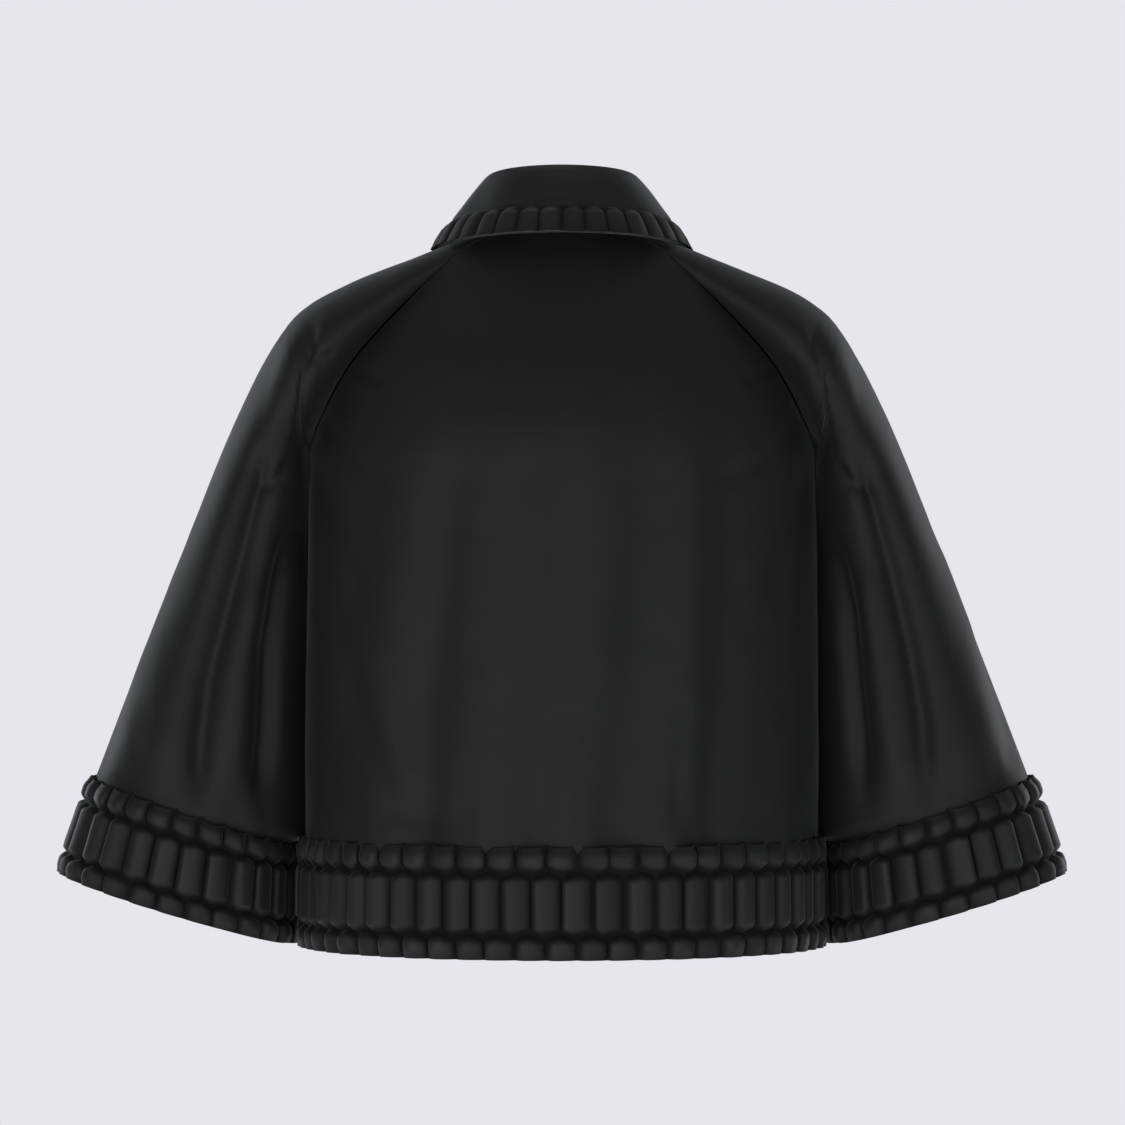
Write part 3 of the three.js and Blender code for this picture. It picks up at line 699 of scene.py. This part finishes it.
def sleeve_shape(side, way):
    """The folds of one half, back (-1) or front (1), of one sleeve."""
    creases = sleeve_creases[side]
    stretch = 0.8 if way < 0 else 0.7

    def shape(u, t, point):
        x = -abs(point.x)
        v = max(0.0, (t - sleeve_start) / (1 - sleeve_start))
        quiet = smooth(min(u, 1 - u) / 0.10)
        gather = smooth((v - 0.55) / 0.3)
        ripple = 0.0016 * gather * noise.noise(Vector((point.x * 55, way * 4, point.z * 8)))
        inner_seam = seam_dip(seam_span * (1 - u), t / sleeve_start)
        outer_seam = 0.4 * seam_dip(seam_span * u, smooth(t * 8))
        total = (stretch * creased(x, point.z, creases) + ripple + limp(point, 11 * way)) * quiet
        return under_trim(total + inner_seam + outer_seam, smooth((v - cuff_top - 0.006) / 0.012))
    return shape


# Painted light: the sleeves are the body's satin drawn 1.05 times as bright.
satin_sleeve = satin_material("satin_sleeve", tone_and_painted_light=1.05)
for side in ("left", "right"):
    sign = -1 if side == "left" else 1
    for way, half in ((-1, "back"), (1, "front")):
        inside = Vector((sign * 0.26, 0, -0.30))
        flowing = eased(sleeve_surface(way), sleeve_start, 0.06, lambda u: smooth(1 - (1 - u) / 0.35))
        surface, shape = for_side(flowing, side), sleeve_shape(side, way)
        sleeve = cloth_grid(f"sleeve_{half}_{side}_cloth", surface, 110, 230, inside, shape, crowd=0.5)
        thickened(sleeve, satin_sleeve)
        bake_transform(sleeve)
        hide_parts(f"raglan_{half}_{side}", f"sleeve_{half}_{side}")
        cloth_piece(sleeve)


# ---------------------------------------------------------------- pleated trim
# A ribbon of the same satin in box pleats, sewn to the hem along two lines, which leaves three rows
# of puffs. The rows are offset, because each stitch line pinches the folds of the row above it.

upper_row, lower_row = 0.23, 0.22
pleat_pitch = 0.0205
pleat_height = 0.0074
trim_base = 0.0004
pleat_columns, pleat_rows = 16, 44
pleat_thickness = 0.0006
zigzag = 0.034
# Painted light: the pleated trims are the body's satin drawn 1.3 times as bright, with painted shade in
# their pleat valleys.
satin_pleats = satin_material(
    "satin_pleats", tone_and_painted_light=1.3, sheen=0.24, roughness=0.50, crinkle=0.35, painted_fold_shade=True)

# For each row: how far its pleats are shifted, where in a pleat its crest lies, and how sharp it is.
row_shift = (0.0, 0.48, 0.02)
row_crest = (0.62, 0.36, 0.34)
row_round = (0.80, 1.10, 1.0)


class Pleats:
    """The pleats of one strip: each has its own height, lean, twist and slack."""

    def __init__(self, count, seed, puff=pleat_height, closed=False, propped=lambda u: 0):
        self.count = count
        self.propped = propped
        self.puff = puff
        self.closed = closed
        draw = random.Random(seed)
        cells = count + 4
        self.tall = [[draw.uniform(0.80, 1.12) for _ in range(cells)] for _ in range(3)]
        self.lean = [[draw.uniform(-0.14, 0.14) for _ in range(cells)] for _ in range(3)]
        self.twist = [[draw.uniform(-0.20, 0.20) for _ in range(cells)] for _ in range(3)]
        self.slack = [[draw.uniform(0.55, 1.25) for _ in range(cells)] for _ in range(3)]

    def cell(self, place):
        index = int(math.floor(place))
        return (index % self.count if self.closed else index + 2), place - index

    def stitch_lines(self, u):
        """The two stitch lines dip under each puff of the row above them."""
        above, share = self.cell(u * self.count + row_shift[0])
        below, other = self.cell(u * self.count + row_shift[1])
        first = zigzag * self.slack[0][above] * (0.5 - abs(share - row_crest[0]) * 1.6)
        second = zigzag * self.slack[1][below] * (0.4 - abs(other - row_crest[1]) * 1.5)
        return upper_row + first, 1 - lower_row + second

    def at(self, u, v):
        """(shift along in pleats, shift down as a share, height in metres) at a place on the strip."""
        first, second = self.stitch_lines(u)
        if v < first:
            row, down = 0, v / first
        elif v < second:
            row, down = 1, (v - first) / (second - first)
        else:
            row, down = 2, (v - second) / (1 - second)
        cell, share = self.cell(u * self.count + row_shift[row])
        crest = row_crest[row] + 0.5 * self.twist[row][cell] * (down - 0.5)
        place = 0.5 * share / crest if share < crest else 0.5 + 0.5 * (share - crest) / (1 - crest)
        pinch = self.rise(row, down)
        ridge = math.sin(math.pi * place) ** mix(1.9, row_round[row], pinch)
        shift = -0.10 * math.sin(2 * math.pi * share) * pinch + self.lean[row][cell] * ridge * pinch
        height = 0.04 + 0.96 * ridge * self.tall[row][cell] * pinch
        corner = abs(2 * share - 1) ** 2 * self.slack[row][cell]
        edge = -0.026 * corner * (1 - down) ** 2 if row == 0 else 0
        return shift, edge, self.puff * mix(height, max(height, 0.85), self.propped(u))

    def rise(self, row, down):
        """How far the cloth has puffed up again from the stitch lines above and below it."""
        near = 0.13 if row == 1 else 0.34
        top = mix(0.62, 1, smooth(down / 0.4)) if row == 0 else smooth(down / near) ** 0.7
        foot = mix(0.70, 1, smooth((1 - down) / 0.4)) if row == 2 else smooth((1 - down) / near) ** 0.7
        return top * foot


def row_steps(v):
    """Crowds the rows of the grid at the two stitch lines."""
    knots = ((0.0, 0.0), (0.26, upper_row), (0.74, 1 - lower_row), (1.0, 1.0))
    for (a, low), (b, high) in zip(knots, knots[1:]):
        if v <= b:
            share = (v - a) / (b - a)
            eased_share = share - 0.45 * math.sin(2 * math.pi * share) / (2 * math.pi)
            return mix(low, high, eased_share)
    return 1.0


def away(surface, inside_of):
    """The outward direction of a surface, from its own slope."""
    def direction(u, v):
        step = 0.002
        u0, u1 = max(u - step, 0), min(u + step, 1)
        v0, v1 = max(v - step * 5, 0), min(v + step * 5, 1)
        slope_u, slope_v = surface(u1, v) - surface(u0, v), surface(u, v1) - surface(u, v0)
        normal = slope_u.cross(slope_v).normalized()
        return normal if normal.dot(surface(u, v) - inside_of) > 0 else -normal
    return direction


def pleated_strip(name, surface, pleats, rows, inside, height=trim_height):
    """A strip over surface(u, v), folded into pleats that stand away from the place inside."""
    closed, outward = pleats.closed, away(surface, inside)
    columns = pleats.count * pleat_columns
    bm = bmesh.new()
    bmesh.ops.create_grid(bm, x_segments=columns, y_segments=rows, size=0.5)
    layer = bm.loops.layers.uv.new("UVMap")
    fold = bm.verts.layers.float.new("fold")
    places = {vert: (vert.co.x + 0.5, row_steps(vert.co.y + 0.5)) for vert in bm.verts}
    for vert, (u, v) in places.items():
        shift, edge, puff = pleats.at(u, v)
        moved = u + shift / pleats.count
        moved = moved % 1.0 if closed else min(max(moved, 0.0), 1.0)
        # The fold attribute is the share of full puff height. The trims' material paints shade by it in
        # the pleat valleys and raises the roughness there.
        vert[fold] = min(puff / pleats.puff, 1.0)
        vert.co = surface(moved, v + edge) + outward(moved, v) * (trim_base + puff)
    flat_length = sum(face.calc_area() for face in bm.faces) / height
    for face in bm.faces:
        face.smooth = True
        for loop in face.loops:
            u, v = places[loop.vert]
            loop[layer].uv = (u * flat_length, v * height)
    if closed:
        bmesh.ops.remove_doubles(bm, verts=bm.verts, dist=0.00002)
    bmesh.ops.recalc_face_normals(bm, faces=bm.faces)
    sample = max(bm.faces, key=lambda face: (face.calc_center_median() - inside).length)
    if sample.normal.dot(sample.calc_center_median() - inside) < 0:
        bmesh.ops.reverse_faces(bm, faces=bm.faces)
    return thickened(finished(name, bm), satin_pleats, pleat_thickness)


def hem_surface(first, last, way):
    """The hem of the back (-1) or front (1), from one place across it to another, -1 to 1."""
    def surface(u, v):
        across = mix(first, last, u)
        level = 1 + (mix(hem_z + trim_height, hem_z, v) - armpit_z) / (hem_z - armpit_z)
        point = body_arc(abs(across), level, way)
        return point if across < 0 else mirrored(point)
    return surface


half_round = math.pi * math.sqrt((half_hem ** 2 + back_depth ** 2) / 2)
back_pleats = round(half_round / pleat_pitch)
surface = hem_surface(-1, 1, -1)
pleats = Pleats(back_pleats, 5, propped=lambda u: smooth(1 - min(u, 1 - u) / 0.045))
hem_back = pleated_strip("hem_trim_back_cloth", surface, pleats, pleat_rows, inside_body)
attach(hem_back, "torso")
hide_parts("hem_trim_back")
cloth_piece(hem_back)

edge_share = math.asin(front_half_gap / half_hem) / (math.pi / 2)
for side, seed in (("left", 6), ("right", 7)):
    surface = for_side(hem_surface(-1, -edge_share, 1), side)
    pleats = Pleats(back_pleats // 2, seed, propped=lambda u: smooth(1 - u / 0.09))
    trim = pleated_strip("hem_trim_" + side, surface, pleats, pleat_rows, inside_body)
    bend_front(trim)
    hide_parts("hem_trim_side_" + side, "hem_trim_front_" + side)
    cloth_piece(trim)


# ---------------------------------------------------------------- cuffs
# The same trim as on the hem, in satin, sewn as a closed band round the lower end of each sleeve.
# It rides on the sleeve.

inside_cuff = Vector((-0.302, cuff_forward, -0.480))
cuff_half_width = 0.092
cuff_round = 2 * math.pi * math.sqrt((cuff_half_width ** 2 + cuff_depth ** 2) / 2)
cuff_pleats = round(cuff_round / pleat_pitch)


def cuff_surface(u, v):
    return tube_point(u % 1.0, mix(cuff_top, 1, v))


def beside_body(u):
    """1 at the inner edge of the cuff, where the pleats lie pressed against the body."""
    return smooth(1 - abs(u % 1.0 - 0.5) / 0.07)


for side, seed in (("left", 11), ("right", 12)):
    centre = inside_cuff if side == "left" else mirrored(inside_cuff)
    surface = for_side(cuff_surface, side)
    pleats = Pleats(cuff_pleats, seed, closed=True, propped=beside_body)
    cuff = pleated_strip(f"cuff_trim_{side}_cloth", surface, pleats, pleat_rows, centre, cuff_height)
    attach(cuff, "sleeve_" + side)
    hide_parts("cuff_trim_" + side)
    cloth_piece(cuff)


# ---------------------------------------------------------------- collar
# A stand sewn into the neck seam, and a fall of two satin layers that turns down over it.
# One row of the pleated ribbon is sewn along the edge of the fall.

roll_width, roll_back, roll_front = 0.126, 0.052, 0.066
stand_height, stand_front = 0.048, 0.034
fall_low, fall_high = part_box("upper_collar")
fall_half = fall_high.x
fall_back, fall_front = -fall_low.y, 0.112
drop_back, drop_side, drop_front = 0.002, 0.0115, 0.062
collar_end = 168
under_start, layer_gap = 0.06, 0.0016
# Painted light: the collar is the body's satin drawn 1.1 times as bright.
satin_collar = satin_material("satin_collar", tone_and_painted_light=1.1, sheen=0.55)


def roll_point(turn):
    """The fold at the top of the collar."""
    angle = math.radians(turn)
    forward = -math.cos(angle)
    depth = roll_back if forward < 0 else roll_front
    height = neck_point(turn).z + mix(stand_height, stand_front, (1 + forward) / 2)
    return Vector((-roll_width / 2 * math.sin(angle), forward * depth, height))


def edge_point(turn):
    """The free lower edge of the fall."""
    angle = math.radians(turn)
    forward = -math.cos(angle)
    depth = fall_back if forward < 0 else fall_front
    drop = mix(drop_side, drop_back, -forward)
    if forward >= 0:
        drop = mix(drop_side, drop_front, forward ** 2)
    return Vector((-fall_half * math.sin(angle), forward * depth, -drop))


def collar_turn(u):
    return mix(-collar_end, collar_end, u)


def fall_surface(u, v):
    turn = collar_turn(u)
    top, end = roll_point(turn), edge_point(turn)
    out, down = 0.22, 0.12
    knee = Vector((mix(top.x, end.x, out), mix(top.y, end.y, out), mix(top.z, end.z, down)))
    return top * (1 - v) ** 2 + knee * 2 * v * (1 - v) + end * v * v


def stand_surface(u, v):
    turn = collar_turn(u)
    return (roll_point(turn) - Vector((0, 0, 0.0010))).lerp(neck_point(turn) - Vector((0, 0, 0.002)), v)


def collar_shape(u, v, point):
    turn = math.radians(collar_turn(u))
    wave = 0.0012 * math.sin(5 * turn + 0.8) + 0.0009 * math.sin(9 * turn + 2.1)
    total = (wave * v + 1.4 * limp(point, 15)) * smooth(v / 0.25)
    return mix(total, -0.0012, smooth((v - 0.74) / 0.05))


def under_surface(u, v):
    return fall_surface(u, mix(under_start, 1, v))


def under_shape(u, v, point):
    return collar_shape(u, mix(under_start, 1, v), point) - layer_gap


def stand_shape(u, v, point):
    return 0.4 * limp(point, 17)


upper = cloth_grid("upper_collar_cloth", fall_surface, 200, 36, inside_neck, collar_shape)
thickened(upper, satin_collar)
under = cloth_grid("under_collar_cloth", under_surface, 200, 30, inside_neck, under_shape)
thickened(under, satin_collar)
stand = cloth_grid("collar_stand_cloth", stand_surface, 200, 16, inside_neck, stand_shape)
thickened(stand, satin_collar, 0.0012)
for piece, node in ((upper, "upper_collar"), (under, "under_collar"), (stand, "collar_stand")):
    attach(piece, "torso")
    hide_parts(node)
    cloth_piece(piece)

collar_row = 0.22
collar_pitch = 0.0175
collar_length = math.pi * math.sqrt((fall_half ** 2 + fall_back ** 2) / 2) * 2 * collar_end / 180


class CollarPleats(Pleats):
    """One row only: stitched along its top and free along its lower edge."""

    def at(self, u, v):
        cell, share = self.cell(u * self.count)
        start = 0.10 * (abs(share - 0.5) * 2 - 0.4) * self.slack[0][cell]
        down = min(max((v - start) / (1 - start), 0), 1)
        pinch = smooth(down / 0.35) ** 0.7 * mix(0.75, 1, smooth((1 - down) / 0.35))
        crest = 0.45 + self.twist[0][cell] * (down - 0.5)
        place = 0.5 * share / crest if share < crest else 0.5 + 0.5 * (share - crest) / (1 - crest)
        ridge = math.sin(math.pi * place) ** mix(1.5, 0.7, pinch)
        shift = -0.08 * math.sin(2 * math.pi * share) * pinch + self.lean[0][cell] * ridge * pinch
        edge = 0.07 * (0.5 - abs(2 * share - 1) ** 2) * self.slack[0][cell] * smooth((v - 0.5) / 0.5)
        return shift, edge, self.puff * (0.10 + 0.90 * ridge * self.tall[0][cell] * pinch)


def collar_trim_surface(u, v):
    return fall_surface(u, mix(1 - collar_row, 1.02, v))


pleats = CollarPleats(round(collar_length / collar_pitch), 21, puff=0.0036)
frill_height = (collar_trim_surface(0.5, 1) - collar_trim_surface(0.5, 0)).length
frill = pleated_strip("collar_trim_cloth", collar_trim_surface, pleats, 24, inside_neck, frill_height)
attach(frill, "torso")
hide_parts("collar_trim")
cloth_piece(frill)


# ---------------------------------------------------------------- hanger loop
# A narrow black woven ribbon that the garment is hung up by.
# It is caught into the neck seam at both ends and droops between them.

loop_low, loop_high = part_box("hanger_loop")
ribbon_width, ribbon_thickness = 0.005, 0.0009


def loop_surface(u, v):
    x = mix(loop_low.x + 0.001, loop_high.x - 0.001, u)
    droop = 1 - (2 * u - 1) ** 4
    z = mix(loop_high.z - 0.001, loop_low.z + ribbon_width, droop)
    return Vector((x, mix(loop_low.y, loop_high.y, 0.5) + 0.001 * droop, z - ribbon_width * v))


ribbon = satin_material("ribbon", tone_and_painted_light=0.8, sheen=0.2, roughness=0.55, crinkle=0.1)
loop = cloth_grid("hanger_ribbon", loop_surface, 60, 6, Vector((0, -0.2, 0)))
thickened(loop, ribbon, ribbon_thickness)
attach(loop, "torso")
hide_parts("hanger_loop")


# ---------------------------------------------------------------- hook and eye
# Bent wire, coated black, sewn behind the front edges at the neck. The CAD pieces keep their shape.

wire = bpy.data.materials.new("coated_wire")
wire.use_nodes = True
tree = wire.node_tree
coat = tree.nodes["Principled BSDF"]
place = Shade.node(tree, "ShaderNodeTexCoord", {}, 3)
chips = Shade.node(tree, "ShaderNodeTexNoise", {}, 0, Vector=place, Scale=900.0, Detail=3.0)
worn = (chips - 0.60) * 9.0
paint, metal = (0.012, 0.012, 0.013, 1), (0.20, 0.19, 0.18, 1)
Shade.plug(tree, coat.inputs["Base Color"], worn.mixed(paint, metal))
Shade.plug(tree, coat.inputs["Roughness"], 0.28 + 0.2 * chips)
coat.inputs["Metallic"].default_value = 1.0
for node in ("neck_hook", "neck_eye"):
    piece = frame["nodes"][node]
    piece.data.materials.clear()
    piece.data.materials.append(wire)


# ---------------------------------------------------------------- studio
# Seamless pale ground and plain soft light; the camera looks level at the middle of the back.

ground = bpy.data.materials.new("ground")
ground.use_nodes = True
tree = ground.node_tree
matt = tree.nodes["Principled BSDF"]
place = Shade.node(tree, "ShaderNodeTexCoord", {}, 3)
speck = Shade.node(tree, "ShaderNodeTexNoise", {}, 0, Vector=place, Scale=3.0)
darker, lighter = (0.78, 0.77, 0.80, 1), (0.80, 0.79, 0.82, 1)
Shade.plug(tree, matt.inputs["Base Color"], speck.mixed(darker, lighter))
matt.inputs["Roughness"].default_value = 0.9
matt.inputs["Emission Color"].default_value = (0.78, 0.77, 0.81, 1)
matt.inputs["Emission Strength"].default_value = 0.45
floor_radius, floor_z = 2.6, -1.25
bm = bmesh.new()
bmesh.ops.create_circle(bm, cap_ends=True, segments=96, radius=floor_radius)
floor = finished("floor", bm)
floor.location.z = floor_z
floor.data.materials.append(ground)

scene = bpy.context.scene
scene.view_settings.view_transform = "Standard"
world = bpy.data.worlds.new("studio")
world.use_nodes = True
scene.world = world
tree = world.node_tree
seen_sky = Shade.node(tree, "ShaderNodeLightPath", {}, 0)
lighting_sky, backdrop = (0.17, 0.17, 0.176, 1), (0.800, 0.791, 0.831, 1)
sky = seen_sky.mixed(lighting_sky, backdrop)
Shade.plug(tree, tree.nodes["Background"].inputs["Color"], sky)


def area_light(name, place, target, size, power, colour):
    """A soft box at place, turned to the target."""
    light = bpy.data.lights.new(name, "AREA")
    light.shape = "RECTANGLE"
    light.size, light.size_y = size
    light.energy = power
    light.color = colour
    made = bpy.data.objects.new(name, light)
    made.location = place
    aim = Vector(target) - Vector(place)
    made.rotation_euler = aim.to_track_quat("-Z", "Y").to_euler()
    scene.collection.objects.link(made)


area_light("key", (-1.3, -3.0, -0.75), (0, 0, -0.3), (2.2, 1.4), 23, (1, 0.995, 0.98))
area_light("fill", (1.5, -3.0, -0.60), (0, 0, -0.3), (2.2, 1.6), 14, (0.96, 0.98, 1))
area_light("left_edge", (-2.0, 1.3, 0.0), (-0.2, 0, -0.3), (1.0, 2.2), 16, (0.95, 0.98, 1))
area_light("right_edge", (2.0, 1.3, 0.0), (0.2, 0, -0.3), (1.0, 2.2), 16, (0.97, 0.98, 1))
area_light("top", (0, 0.6, 2.2), (0, 0, -0.2), (1.6, 1.6), 6, (1, 1, 1))

camera = bpy.data.cameras.new("camera")
camera.sensor_width = 36
camera.lens = 148
eye = bpy.data.objects.new("camera", camera)
eye.location = (0.0004, -3.7, -0.262)
eye.rotation_euler = (math.pi / 2, 0, 0)
scene.collection.objects.link(eye)
scene.camera = eye
